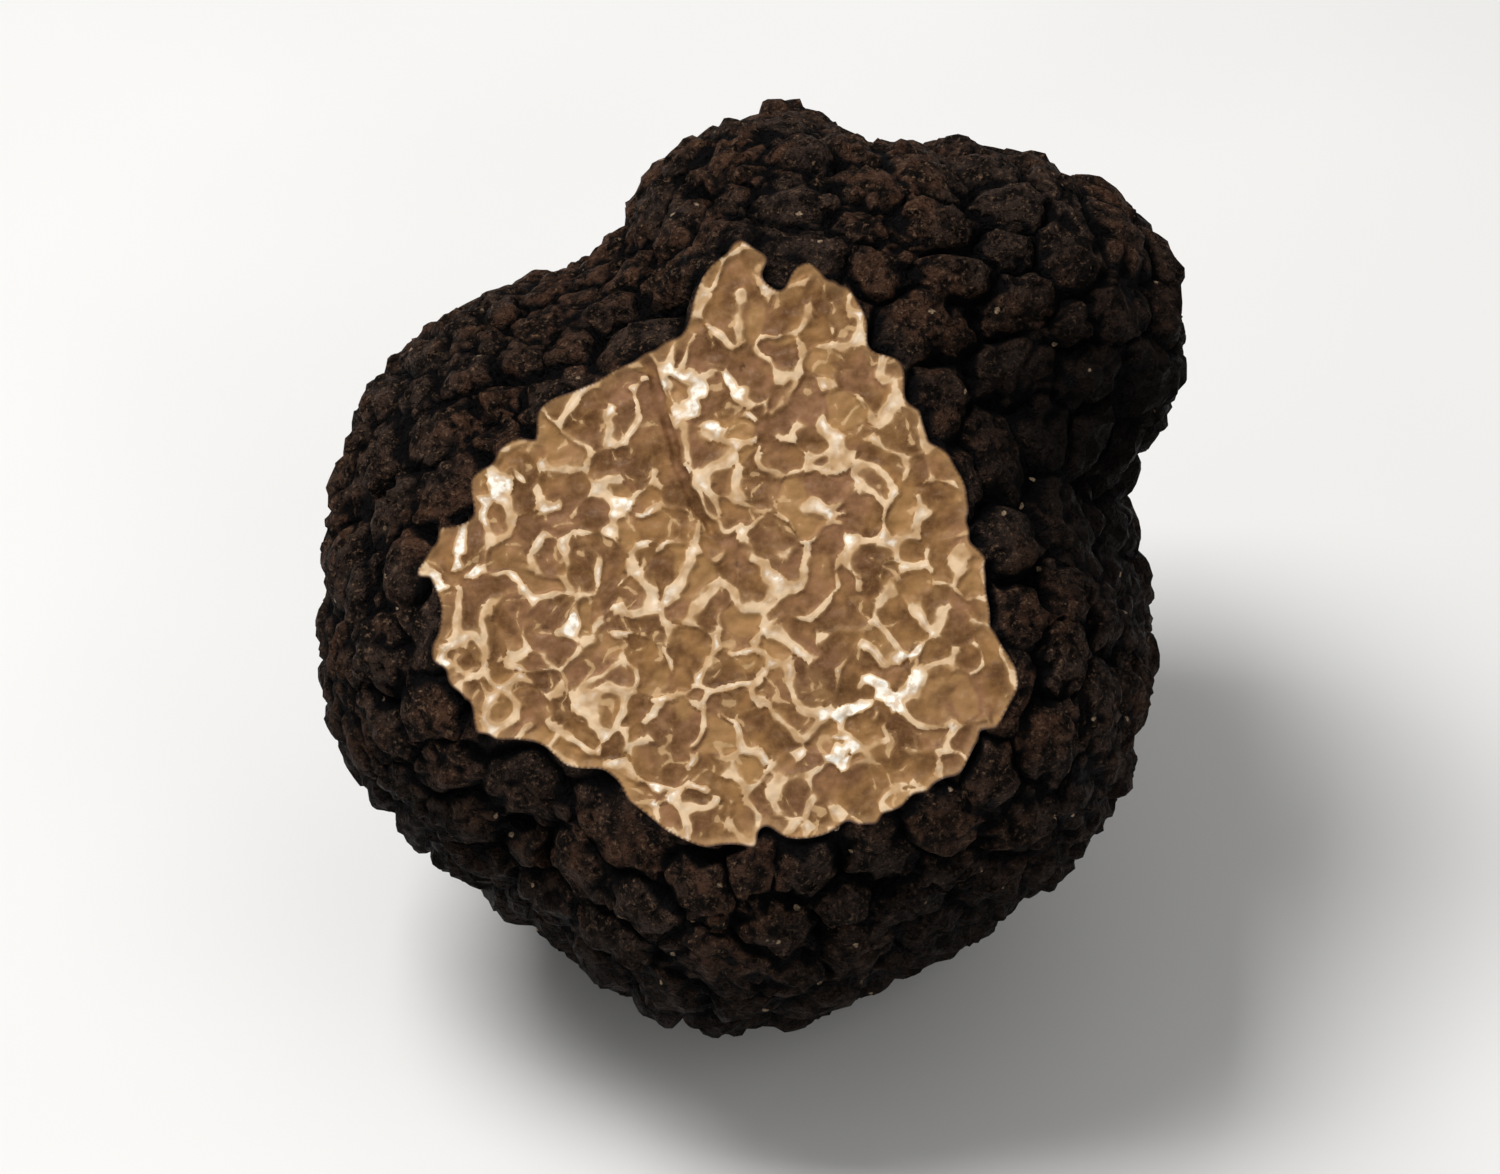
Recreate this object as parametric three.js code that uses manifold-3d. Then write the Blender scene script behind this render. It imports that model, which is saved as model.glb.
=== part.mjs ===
// A black truffle with a slice taken off its front, so that the pale flesh shows: one lumpy fruit body, covered
// all over in polygonal warts with deep cracks between them, and resting on a small flat spot.
// Millimetres, +Z up. The origin is on the surface that the truffle rests on, under the middle of its box.
// The cut looks along -Y and up.

import * as THREE from "three";
import { ConvexHull } from "three/addons/math/ConvexHull.js";
import { mergeVertices } from "three/addons/utils/BufferGeometryUtils.js";
import Module from "manifold-3d";

// ---- Driving dimensions ----

// Every ray from the heart leaves the body once, so the skin has one place for each direction.
const HEART = new THREE.Vector3(0.8, 0.3, 22);
const REACH = 40; // no part of the surface is further from the heart
const fromHeart = (x, y, z) => HEART.clone().add(new THREE.Vector3(x, y, z));

// The lobes that the body has grown from. They melt into each other and leave valleys between them.
const LOBES = [
  { name: "middle", at: fromHeart(0.5, -5, 4), radius: 14.5 },
  { name: "left belly", at: fromHeart(-11, -6.5, -0.5), radius: 11 },
  { name: "right belly", at: fromHeart(7, -10, 0.5), radius: 11.5 },
  { name: "brow", at: fromHeart(4, 2.5, 14), radius: 8.5 },
  { name: "crown", at: fromHeart(13, 3.5, 13), radius: 8 },
  { name: "right flank", at: fromHeart(12.5, -0.5, -2.5), radius: 6 },
  { name: "left shoulder", at: fromHeart(-10, 0, 4), radius: 11.5 },
  { name: "top", at: fromHeart(-0.5, 8.5, 14.5), radius: 6 },
  { name: "chin", at: fromHeart(-1.5, -14.5, -6), radius: 9 },
  { name: "seat", at: fromHeart(-0.5, 0, -4.5), radius: 18.5 },
  { name: "right seat", at: fromHeart(5, 0.5, -8), radius: 11.5 },
  { name: "nape", at: fromHeart(10, 13.5, 5.5), radius: 9.5 },
  { name: "knob on top", at: fromHeart(1.5, 16, 15.5), radius: 1.4 },
  { name: "tongue of flesh", at: fromHeart(-2, -1.5, 20.5), radius: 0.7 },
];
const LOBE_BLEND = 1.8; // how softly one lobe melts into the next

// The warts. Heights are from the melted lobes' own surface.
const SEED = 7;
const WART_SPACING = 2.9; // from one wart's top to the next one's, at the least
const WART_SPACING_VARIES = 0.2; // as a share
const WART_TRIES = 14000; // random places tried for a wart
const WART_TOP = 0.45;
const WART_TOP_VARIES = 0.2;
const SHOULDER_HEIGHT = 0.22;
const SHOULDER_SHARE = 0.68; // how far out a wart's shoulder is, as a share of the way to the crack
const SHOULDER_SHARE_VARIES = 0.1;
const CRACK_DEPTH = 0.75;
const CRACK_DEPTH_VARIES = 0.35;

// The left shoulder's skin is finer and flatter than the rest.
const FINE_SKIN = { at: fromHeart(-13, 3, 14), radius: 11, spacing: 0.68, relief: 0.55 };

// Under the truffle the warts are rubbed down, round the flat spot.
const FOOT = { at: fromHeart(0, 0, -22), radius: 9, relief: 0.35 };

const CUT_NORMAL = new THREE.Vector3(-0.14, -0.71, 0.69).normalize();
const CUT_DISTANCE = 16.4; // from the heart to the cut
const CUT_CLEARANCE = 0.1; // how far a wart or crack beside the cut stays from its plane
const NOTCH_REACH = 0.35; // cracks this near to the cut run down into it and notch its edge

const SKIN_COLOUR = 0x2b211b;

// ---- Seeded random numbers, 0 to 1 ----

function randomNumbers(seed) {
  let state = seed;
  return () => {
    state = (state + 0x6d2b79f5) | 0;
    let t = Math.imul(state ^ (state >>> 15), 1 | state);
    t = (t + Math.imul(t ^ (t >>> 7), 61 | t)) ^ t;
    return ((t ^ (t >>> 14)) >>> 0) / 4294967296;
  };
}
const random = randomNumbers(SEED);

// A share from 0 to 1 as a value round the middle.
const spread = (middle, amount, share) => middle + amount * (2 * share - 1);

// ---- The smooth body ----

// How much each lobe counts at a point: its soft share of the body, and the way out from its middle.
function lobesAt(point) {
  return LOBES.map((lobe) => {
    const way = point.clone().sub(lobe.at);
    return { way, weight: Math.exp((lobe.radius - way.length()) / LOBE_BLEND) };
  });
}

// Distance from a point to the melted lobes, negative inside.
function bodyDistance(point) {
  const sum = lobesAt(point).reduce((total, lobe) => total + lobe.weight, 0);
  return -LOBE_BLEND * Math.log(sum);
}

// The way straight out of the melted lobes at a point.
function outwardAt(point) {
  const outward = new THREE.Vector3();
  for (const lobe of lobesAt(point)) outward.addScaledVector(lobe.way.normalize(), lobe.weight);
  return outward.normalize();
}

// The point where a ray from the heart leaves the body.
function surfacePoint(direction) {
  const pointAt = (distance) => HEART.clone().addScaledVector(direction, distance);
  let inside = 0;
  let outside = REACH;
  for (let step = 0; step < 30; step++) {
    const middle = (inside + outside) / 2;
    if (bodyDistance(pointAt(middle)) < 0) inside = middle;
    else outside = middle;
  }
  return pointAt(inside);
}

// A quantity that is 1 over most of the skin and takes another value near the middle of an area.
function easedTo(value, point, area) {
  const away = THREE.MathUtils.smoothstep(point.distanceTo(area.at), area.radius * 0.4, area.radius);
  return THREE.MathUtils.lerp(value, 1, away);
}

const spacingAt = (point) => WART_SPACING * easedTo(FINE_SKIN.spacing, point, FINE_SKIN);
const reliefAt = (point) => easedTo(FINE_SKIN.relief, point, FINE_SKIN) * easedTo(FOOT.relief, point, FOOT);

// A height, kept from leaving a loose island of flesh on a wart beside the cut, or a pit in the flesh.
function heightBesideCut(height, base, outward) {
  const over = base.clone().sub(HEART).dot(CUT_NORMAL) - CUT_DISTANCE;
  const climb = outward.dot(CUT_NORMAL);
  if (climb <= 0) return height;
  if (over < 0) return Math.min(height, (-CUT_CLEARANCE - over) / climb);
  if (over > NOTCH_REACH) return Math.max(height, (CUT_CLEARANCE - over) / climb);
  return height;
}

// The point of the skin in a direction, at a height over the smooth body.
function skinPoint(direction, height) {
  const base = surfacePoint(direction);
  const outward = outwardAt(base);
  return base.addScaledVector(outward, heightBesideCut(height * reliefAt(base), base, outward));
}

// ---- The warts ----

// Warts at random, each kept where no other is too near, with three random shares of its own.
function sowWarts() {
  const kept = [];
  for (let i = 0; i < WART_TRIES; i++) {
    const polar = Math.acos(2 * random() - 1);
    const direction = new THREE.Vector3().setFromSphericalCoords(1, polar, 2 * Math.PI * random());
    const place = surfacePoint(direction);
    const spacing = spacingAt(place) * spread(1, WART_SPACING_VARIES, random());
    const own = { height: random(), breadth: random(), depth: random() };
    const isNear = (other) => other.place.distanceTo(place) < (other.spacing + spacing) / 2;
    if (!kept.some(isNear)) kept.push({ direction, place, spacing, own });
  }
  return kept;
}

// A triangle's corners, turned so that the lowest wart number comes first.
function lowestFirst(corners) {
  const start = corners.indexOf(Math.min(...corners));
  return [0, 1, 2].map((k) => corners[(start + k) % 3]);
}

const inOrder = (triangles) => triangles.sort((p, q) => p[0] - q[0] || p[1] - q[1] || p[2] - q[2]);

// The triangles of neighbouring warts, as seen from the heart, anticlockwise from outside.
function neighbourTriangles(warts) {
  const points = warts.map((wart) => wart.direction);
  const numberOf = new Map(points.map((point, i) => [point, i]));
  const hull = new ConvexHull().setFromPoints(points);
  return hull.faces.map((face) => lowestFirst([0, 1, 2].map((k) => numberOf.get(face.getEdge(k).head().point))));
}

// The same warts, with the edge between two triangles traded for the other diagonal wherever that makes them
// plumper on the skin itself, which is slanted to the rays from the heart in places.
function plumpTriangles(warts, triangles) {
  const angleAt = (tip, a, b) => {
    const toA = warts[a].place.clone().sub(warts[tip].place);
    return toA.angleTo(warts[b].place.clone().sub(warts[tip].place));
  };
  const facesOut = (a, b, c) => {
    const across = warts[a].direction.clone().cross(warts[b].direction);
    return across.dot(warts[c].direction) > 0;
  };
  const beyondEdge = new Map();
  for (const corners of triangles)
    corners.forEach((corner, k) => beyondEdge.set(`${corners[(k + 1) % 3]} ${corner}`, corners));
  const used = new Set();
  const traded = [];
  for (const corners of inOrder(triangles)) {
    for (let k = 0; k < 3; k++) {
      const [a, b, c] = [0, 1, 2].map((step) => corners[(k + step) % 3]);
      const other = beyondEdge.get(`${a} ${b}`);
      const d = other.find((corner) => corner !== a && corner !== b);
      const isSlim = angleAt(c, a, b) + angleAt(d, a, b) > Math.PI;
      const isFree = !used.has(corners) && !used.has(other) && !beyondEdge.has(`${c} ${d}`);
      if (!isSlim || !isFree || !facesOut(a, d, c) || !facesOut(d, b, c)) continue;
      used.add(corners).add(other);
      traded.push(lowestFirst([a, d, c]), lowestFirst([d, b, c]));
    }
  }
  const kept = triangles.filter((corners) => !used.has(corners));
  return traded.length ? plumpTriangles(warts, [...kept, ...traded]) : kept;
}

// The direction and depth of the place where the cracks between three warts meet, nearer to the smaller warts.
function crackJunction(three) {
  const middle = new THREE.Vector3();
  for (const wart of three) middle.addScaledVector(wart.place.clone().sub(HEART), 1 / wart.spacing);
  const share = three.reduce((total, wart) => total + wart.own.depth, 0) % 1;
  return { direction: middle.normalize(), height: -spread(CRACK_DEPTH, CRACK_DEPTH_VARIES, share) };
}

// The junctions round a wart in turn, anticlockwise from outside.
function ringRound(top, junctions) {
  const east = new THREE.Vector3(-top.y, top.x, 0).normalize();
  const north = new THREE.Vector3().crossVectors(top, east);
  const angle = (junction) => Math.atan2(junction.direction.dot(north), junction.direction.dot(east));
  return [...junctions].sort((a, b) => angle(a) - angle(b));
}

// The closed warty body: each wart is a top, a ring of shoulders round it and the cracks that it falls into.
function wartyBody() {
  const warts = sowWarts();
  const points = [];
  const faces = [];
  const add = (direction, height) => points.push(skinPoint(direction, height)) - 1;
  const junctionsOf = warts.map(() => []);
  for (const corners of plumpTriangles(warts, neighbourTriangles(warts))) {
    const junction = crackJunction(corners.map((corner) => warts[corner]));
    junction.point = add(junction.direction, junction.height);
    for (const corner of corners) junctionsOf[corner].push(junction);
  }
  warts.forEach((wart, i) => {
    const ring = ringRound(wart.direction, junctionsOf[i]);
    const top = add(wart.direction, spread(WART_TOP, WART_TOP_VARIES, wart.own.height));
    const share = spread(SHOULDER_SHARE, SHOULDER_SHARE_VARIES, wart.own.breadth);
    const shoulders = ring.map((junction) => {
      return add(wart.direction.clone().lerp(junction.direction, share).normalize(), SHOULDER_HEIGHT);
    });
    ring.forEach((junction, j) => {
      const next = (j + 1) % ring.length;
      faces.push([top, shoulders[j], shoulders[next]]);
      faces.push([shoulders[j], junction.point, ring[next].point]);
      faces.push([shoulders[j], ring[next].point, shoulders[next]]);
    });
  });
  const geometry = new THREE.BufferGeometry().setFromPoints(points);
  geometry.setIndex(faces.flat());
  return geometry;
}

// ---- Cutting ----

const wasm = await Module();
wasm.setup();

function solidOf(geometry) {
  const bare = new THREE.BufferGeometry().setAttribute("position", geometry.getAttribute("position"));
  bare.setIndex(geometry.index);
  const merged = mergeVertices(bare, 1e-4);
  return new wasm.Manifold(
    new wasm.Mesh({
      numProp: 3,
      vertProperties: new Float32Array(merged.attributes.position.array),
      triVerts: new Uint32Array(merged.index.array),
    }),
  );
}

function geometryOf(solid) {
  const { vertProperties, triVerts } = solid.getMesh();
  const geometry = new THREE.BufferGeometry();
  geometry.setAttribute("position", new THREE.BufferAttribute(vertProperties, 3));
  geometry.setIndex(new THREE.BufferAttribute(triVerts, 1));
  return geometry;
}

// A block whose face lies on a plane and whose body is on the plane's far side, to take away what is there.
function blockBeyond(normal, planePoint) {
  const size = 3 * REACH;
  const block = new THREE.BoxGeometry(size, size, size);
  block.translate(0, 0, size / 2);
  block.applyQuaternion(new THREE.Quaternion().setFromUnitVectors(new THREE.Vector3(0, 0, 1), normal));
  block.translate(planePoint.x, planePoint.y, planePoint.z);
  return solidOf(block);
}

function truffleGeometry() {
  const cutPoint = HEART.clone().addScaledVector(CUT_NORMAL, CUT_DISTANCE);
  const slice = blockBeyond(CUT_NORMAL, cutPoint);
  const ground = blockBeyond(new THREE.Vector3(0, 0, -1), new THREE.Vector3());
  return geometryOf(solidOf(wartyBody()).subtract(slice).subtract(ground));
}

const truffle = new THREE.Mesh(
  truffleGeometry(),
  new THREE.MeshStandardMaterial({ color: SKIN_COLOUR, roughness: 0.85, metalness: 0 }),
);
truffle.name = "truffle";

const part = new THREE.Group();
part.add(truffle);
export default part;
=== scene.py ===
"""A black truffle with a slice cut off its front: black warty skin, and brown flesh marbled with white veins.

The truffle here has the solid's own lobes, warts and cut. Its warts are rounder, its cracks are narrower and
broken up, and its skin has a grain. Lengths are in millimetres until the mesh is made, and colours are sRGB
from 0 to 255.
"""

import math

import bmesh
import bpy
import numpy as np
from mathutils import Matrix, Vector, noise
from mathutils.geometry import delaunay_2d_cdt
from mathutils.kdtree import KDTree


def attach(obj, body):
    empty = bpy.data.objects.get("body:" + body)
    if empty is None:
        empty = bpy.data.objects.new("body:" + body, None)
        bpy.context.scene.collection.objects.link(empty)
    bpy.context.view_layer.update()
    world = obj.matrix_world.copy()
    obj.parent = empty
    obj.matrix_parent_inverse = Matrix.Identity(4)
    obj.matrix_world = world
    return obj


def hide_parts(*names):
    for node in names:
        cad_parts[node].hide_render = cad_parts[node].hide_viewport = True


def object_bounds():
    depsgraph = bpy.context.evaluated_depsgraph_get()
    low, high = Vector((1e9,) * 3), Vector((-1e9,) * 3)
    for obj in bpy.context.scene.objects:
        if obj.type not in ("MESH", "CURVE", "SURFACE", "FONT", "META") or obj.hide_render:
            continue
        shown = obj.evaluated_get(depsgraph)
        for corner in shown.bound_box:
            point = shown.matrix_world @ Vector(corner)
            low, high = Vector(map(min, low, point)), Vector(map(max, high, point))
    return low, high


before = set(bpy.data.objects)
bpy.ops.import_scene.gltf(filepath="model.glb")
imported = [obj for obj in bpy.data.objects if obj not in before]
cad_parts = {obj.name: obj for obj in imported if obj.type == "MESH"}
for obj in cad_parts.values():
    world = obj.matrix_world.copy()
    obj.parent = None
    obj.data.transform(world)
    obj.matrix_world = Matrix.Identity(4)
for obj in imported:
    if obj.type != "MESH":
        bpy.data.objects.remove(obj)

cad_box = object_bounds()
MM = 0.001  # a millimetre, in metres

# ---- The body: the solid's own dimensions ----

HEART = np.array([0.8, 0.3, 22])  # every ray from it leaves the body once
REACH = 40  # no part of the surface is further from the heart
HALVINGS = 30  # how often a ray's reach is halved to find where it leaves the body
LOBES = np.array(
    [  # the lobe's place from the heart, and its radius
        [0.5, -5, 4, 14.5],  # middle
        [-11, -6.5, -0.5, 11],  # left belly
        [7, -10, 0.5, 11.5],  # right belly
        [4, 2.5, 14, 8.5],  # brow
        [13, 3.5, 13, 8],  # crown
        [12.5, -0.5, -2.5, 6],  # right flank
        [-10, 0, 4, 11.5],  # left shoulder
        [-0.5, 8.5, 14.5, 6],  # top
        [-1.5, -14.5, -6, 9],  # chin
        [-0.5, 0, -4.5, 18.5],  # seat
        [5, 0.5, -8, 11.5],  # right seat
        [10, 13.5, 5.5, 9.5],  # nape
        [1.5, 16, 15.5, 1.4],  # knob on top
        [-2, -1.5, 20.5, 0.7],  # tongue of flesh
    ]
)
LOBE_BLEND = 1.8

SEED = 7
DRAWS_PER_WART = 6
WART_SPACING = 2.9
WART_SPACING_VARIES = 0.2
WART_TRIES = 14000
WART_TOP = 0.45
WART_TOP_VARIES = 0.2
CRACK_DEPTH = 0.75
CRACK_DEPTH_VARIES = 0.35

AREA_CORE = 0.4  # the share of an area's radius within which its own value holds
FINE_SKIN = {"at": HEART + [-13, 3, 14], "radius": 11, "spacing": 0.68, "relief": 0.55}
CROWN_SHADE = {"at": HEART + [15, -2, 9], "radius": 15, "dust_and_shade": 0.06}  # painted shade: the crown's front keeps the least of the dusty colour, so it is painted darker
FOOT = {"at": HEART + [0, 0, -22], "radius": 9, "relief": 0.35}

CUT_NORMAL = np.array([-0.14, -0.71, 0.69]) / np.linalg.norm([-0.14, -0.71, 0.69])
CUT_DISTANCE = 16.4
FLESH_MIDDLE = HEART + CUT_NORMAL * CUT_DISTANCE
GROUND_MIDDLE = np.array([0.0, 0.0, 0.0])
GROUND_NORMAL = np.array([0.0, 0.0, -1.0])
CUT_CLEARANCE = 0.05  # how far skin that a plane doesn't cut stays from that plane
NOTCH_REACH = 0.2  # skin that starts less than this beyond a plane may dip under it, and notch its edge
LEAST_CLIMB = 0.05  # skin that faces a plane less than this is left as it is

# ---- The skin's form ----

noise.seed_set(SEED)  # without it the noise vectors would differ from run to run

# Noise that is read at shifted points is unlike the noise that is read at the points themselves.
SHIFTS = {"height": 20, "scallops": 33, "seam": 50, "fading": 60, "fine veins": 70, "patches": 80}

WART_ROWS = 6  # rows of points from a wart's top to the crack round it
ROW_CROWDING = 1.3  # over 1, the rows crowd towards the crack
SAME_POINT_DIGITS = 5  # points that agree to this many decimals are one point

WANDER = 0.5  # how far the cracks wander
WANDER_SIZE = 1.9
WANDER_DETAIL = 0.5  # how much the finer wandering adds, as a share
WANDER_DETAIL_SIZE = 0.4  # its size, as a share

WART_ROUNDNESS = 2.0  # the higher, the flatter the wart's top and the steeper its side
WART_SHOULDER = 0.8  # the lower, the fuller the wart is beside its crack
WART_SINK = 0.05  # how much lower the rounded warts are than the solid's plain ones
HEIGHT_NOISE = 0.3
HEIGHT_NOISE_SIZE = 3.5
CRACK_SHARE = 0.85  # of a crack's own depth
CRACK_SHARE_VARIES = 1.3
CRACK_SHARE_SIZE = 3.2
CRACK_SHARE_LIMITS = (0.1, 1.5)

GRAIN_SIZE = 1.05  # between the small lumps that make up a wart
GRAIN_HEIGHT = 0.6
GRAIN_WANDER = 0.25
GRAIN_MIDDLE = 0.42  # this part of a lump's height lies under the wart's own surface
GRAIN_BY_CUT = 0.6  # the grain's middle share of its height: it has less beside the cut, and more far off
GRAIN_BY_CUT_VARIES = 0.4
GRAIN_BY_CUT_BAND = (0.2, 1.2)  # how far from the cut's plane the share begins to grow, and ends
LUMP_RADIUS = 0.95
LUMP_DENT = (-0.1, 0.22)  # how far the dents between lumps reach into them

HOLLOW_STEPS = 11  # how widely a point is compared with the skin round it, to tell a hollow from a top
DUST_KEPT_IN_UNDERSIDE_SHADE = 0.15  # the share of the dusty colour that skin facing down keeps; the rest is painted shade on the underside
UNDERSIDE_SHADE_CLIMB = (-0.5, 0.5)  # how much skin faces up where the painted shade on the underside begins to lift, and where it ends

# ---- Filling the cuts ----

SKIN, FLESH = 0, 1  # the truffle's materials, in this order
FLESH_NET = {"spacing": 0.12, "material": FLESH, "seed": 11}
FOOT_NET = {"spacing": 0.8, "material": SKIN, "seed": 12}
NET_SHAKE = 0.12  # how far a net's points are shaken, in spacings
NET_CLEARANCE = 0.55  # how far they stay from the rim, in spacings
SNAP = 0.03  # points nearer than this to a plane are put on it
ON_PLANE = 1e-4  # points nearer than this count as lying on it
TINY = 1e-6
INSIDE_OUTLINES = 2  # asks delaunay_2d_cdt for triangles inside the outlines only
RIM_SMOOTHINGS = 7

# ---- The flesh ----

FLESH_FIELDS = ("rim", "vein", "fine", "island")  # what each point of the flesh carries for its paint
UPHILL = [0, 0.697, 0.717]  # the steepest way up the cut face, seen from the side
FLESH_RIGHT = np.cross(UPHILL, CUT_NORMAL)
FLESH_RIGHT = FLESH_RIGHT / np.linalg.norm(FLESH_RIGHT)
FLESH_UP = np.cross(CUT_NORMAL, FLESH_RIGHT)

# Veins run midway between brown islands. A share of them is whole, and the rest only stick out of the places
# where veins meet. "spacing" is between islands. "thin" and "thick" are half of a whole vein's width at the
# least and at the most, and "meeting" is half the width where veins meet. "wander" moves them widely and
# "shake" finely. The shift keeps the two kinds from wandering alike.
BOLD_VEINS = {
    "spacing": 1.75,
    "whole": 0.42,
    "thin": 0.04,
    "thick": 0.18,
    "meeting": 0.28,
    "wander": 1.0,
    "wander size": 2.4,
    "wander shift": 0,
    "shake": 0.25,
    "seed": 3,
}
FINE_VEINS = {
    "spacing": 1.05,
    "whole": 0.25,
    "thin": 0.02,
    "thick": 0.07,
    "meeting": 0.11,
    "wander": 0.8,
    "wander size": 1.7,
    "wander shift": 90,
    "shake": 0.2,
    "seed": 5,
}
SHAKE_SIZE = 0.8
ISLAND_SHAKE = 0.38
ISLAND_RADIUS_VARIES = 0.16
NEAR_ISLANDS = 5  # as many as could be the nearest three once their radii count
ISLAND_STEP = 0.6180  # steps that give each island, pair or three of them a share that looks random
WHOLE_STEPS = (0.7549, 0.5698)
STRENGTH_STEPS = (0.8192, 0.6710)
MEETING_STEP = 0.5698
TONE_BLEND = 0.35  # how far from their border the tones of two islands melt into each other
VEIN_END = -0.45  # a broken vein tapers off to this
VEIN_ROUNDNESS = 0.1  # how soft a vein's middle line is
MEETING_SHARE = 0.62
MEETING_SHARE_VARIES = 0.38
MEETING_BAND = (0.02, 0.3)  # a whole vein narrows from here to here, in spacings from where veins meet
BROKEN_REACH = 0.15  # how far a broken vein sticks out at the least, in spacings
BROKEN_REACH_VARIES = 0.35

# How noise widens and narrows the veins.
VEIN_FRAY = 0.05
VEIN_FRAY_SIZE = 0.9
VEIN_FADE = 0.12
VEIN_FADE_SIZE = 3.5
VEIN_FADE_BAND = (0.1, 0.5)
FINE_FADE = 0.3
FINE_FADE_SIZE = 2.6
FINE_FADE_BAND = (-0.15, 0.2)
PLAIN_SIDE = (9.0, 13.0)  # from here to here to the right, the veins fade
PLAIN_SIDE_SHAKE = 1.5
PLAIN_SIDE_BOLD = 0.12
PLAIN_SIDE_FINE = 0.3

# How the flesh rises and sinks.
FLESH_SINK = 0.06
VEIN_RIDGE = 0.13  # how far the islands lie below the veins
VEIN_RIDGE_BAND = (-0.05, 0.3)
SWELL = 0.11
SWELL_SIZE = 2.4
ISLAND_STAGGER = 0.1  # how much lower one island may lie than another
ISLAND_STAGGER_BAND = (0, 0.2)
RIM_EASE = 0.5  # from the rim to this far in, the flesh leaves the plane of the cut bit by bit

# Places on the cut face are to the right of its middle, and up.
FOLD = [
    [-3.4, 9.7],
    [-2.6, 7.7],
    [-1.9, 6.2],
    [-1.5, 4.6],
    [-1.2, 2.6],
    [-0.4, 1.2],
    [0.6, 0.7],
    [1.6, 1.0],
    [2.2, 1.5],
]
FOLD_SHAKE = 0.4
SEAM_HALF_WIDTH = 0.09
SEAM_VARIES = 1.6
SEAM_VARIES_SIZE = 1.4
TROUGH = [[-3.6, 9.3], [-3.1, 7.4], [-2.5, 5.4], [-2.0, 3.7], [-1.4, 2.2], [-0.5, 0.8]]
TROUGH_DEPTH = 0.3
TROUGH_FLOOR = 0.1  # half the width of its deepest part
TROUGH_HALF_WIDTH = 0.4
TROUGH_SHAKE = 0.2
# The trough has no veins. The gaps to them are at least the start outside it, and so much more at its middle.
TROUGH_START = -0.6
TROUGH_BOLD = 2.6
TROUGH_FINE = 1.1

RIM_PUSH_CORE = 0.3  # the share of a push's radius within which it is full
RIM_PUSHES = np.array(
    [  # place, radius, and how far the skin is pushed out there, or in
        [1.2, 15.0, 1.2, 0.3],
        [-0.8, 14.6, 1.4, -0.3],
        [2.8, 13.3, 1.1, -0.6],
        [6.0, 13.0, 1.6, 0.15],
        [-3.0, 12.0, 2.2, -0.5],
        [-11.3, 6.8, 2.6, -0.6],
        [-14.8, -0.2, 2.8, 0.35],
        [-15.2, -3.6, 2.0, -0.5],
        [-3.0, -13.6, 1.6, 0.4],
        [-0.6, -14.4, 2.4, 0.35],
        [0.8, -14.0, 1.4, 0.35],
        [4.6, -14.6, 2.0, 0.45],
        [14.6, -3.4, 2.5, -0.4],
    ]
)
RIM_PUSH_BAND = (-5, -2)  # how far below the cut's plane the pushes begin, and are full
RIM_SCALLOP = 0.25
RIM_SCALLOP_SIZE = 1.2
RIM_SCALLOP_BAND = (-1.5, -0.3)

CREAM_CORE = 0.3  # the share of a patch's radius within which it is full
CREAM_SHAKE = 0.3
CREAM_PATCHES = np.array(
    [  # place, radius and strength
        [7.8, -7.5, 1.8, 1.6],
        [9.1, -6.5, 1.4, 1.3],
        [6.1, -8.4, 1.3, 1.3],
        [5.8, -10.2, 1.3, 1.0],
        [10.1, -5.3, 1.0, 0.8],
        [-8.2, -3.6, 1.5, 1.6],
        [-5.2, 1.3, 1.4, 0.8],
        [-2.5, 8.2, 1.1, 1.1],
        [-1.4, 7.1, 1.3, 1.1],
        [-0.2, 6.3, 1.1, 0.9],
        [0.9, 8.3, 1.2, 0.8],
        [6.4, 0.8, 1.0, 1.0],
        [1.1, -1.1, 0.9, 1.1],
        [-2.0, -6.3, 1.4, 0.7],
        [-3.0, -12.3, 1.4, 0.7],
        [-11.5, 3.2, 3.0, 0.5],
        [-13.6, -0.5, 2.4, 0.6],
        [-13.2, -5.8, 1.8, 0.5],
    ]
)
CREAM_WIDENS = 0.3  # how much a patch widens its veins
CREAM_WIDENS_VARIES = 0.9
CREAM_NOISE_SIZE = 1.0
CREAM_RELIEF = 0.25
CREAM_RELIEF_SIZE = 1.1
CREAM_RELIEF_LEAST = -0.2

# ---- The stage ----

CAMERA_RISE = math.radians(40)  # the camera looks down by this much, along +Y
CAMERA_DISTANCE = 350
CAMERA_AIM = HEART + [-0.8, 0, -1.2]
VIEW_WIDTH = 78  # of the view at the aim
SENSOR_WIDTH = 36
FLOOR_HALF_WIDTH = 3.0  # in metres
SKY_STRENGTH = 0.35
KEY_LIGHT = {"place": (-190, 20, 470), "size": 220, "watts": 2.3}
FILL_LIGHT = {"place": (260, -260, 300), "size": 300, "watts": 0.3}


# ---- The smooth body and its warts, laid as in the solid ----


def random_numbers(seed):
    """Seeded random numbers from 0 to 1 (mulberry32), the same ones that the solid draws."""
    whole = 2**32 - 1
    state = seed
    while True:
        state = (state + 0x6D2B79F5) & whole
        t = (state ^ (state >> 15)) * (1 | state) & whole
        t ^= (t + (t ^ (t >> 7)) * (61 | t)) & whole
        yield (t ^ (t >> 14)) / 2**32


def spread(middle, amount, share):
    """A value that is the amount below the middle at share 0, and the amount above it at share 1."""
    return middle + amount * (2 * share - 1)


def smooth_step(value, low, high):
    """0 up to low, 1 from high on, and a smooth climb between them."""
    share = np.clip((value - low) / (high - low), 0, 1)
    return share * share * (3 - 2 * share)


def lobe_weights(points):
    """How much each lobe counts at each point, and the unit way there from the lobe's middle."""
    ways = points[:, None, :] - (HEART + LOBES[:, :3])
    lengths = np.linalg.norm(ways, axis=2)
    return np.exp((LOBES[:, 3] - lengths) / LOBE_BLEND), ways / lengths[:, :, None]


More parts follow.
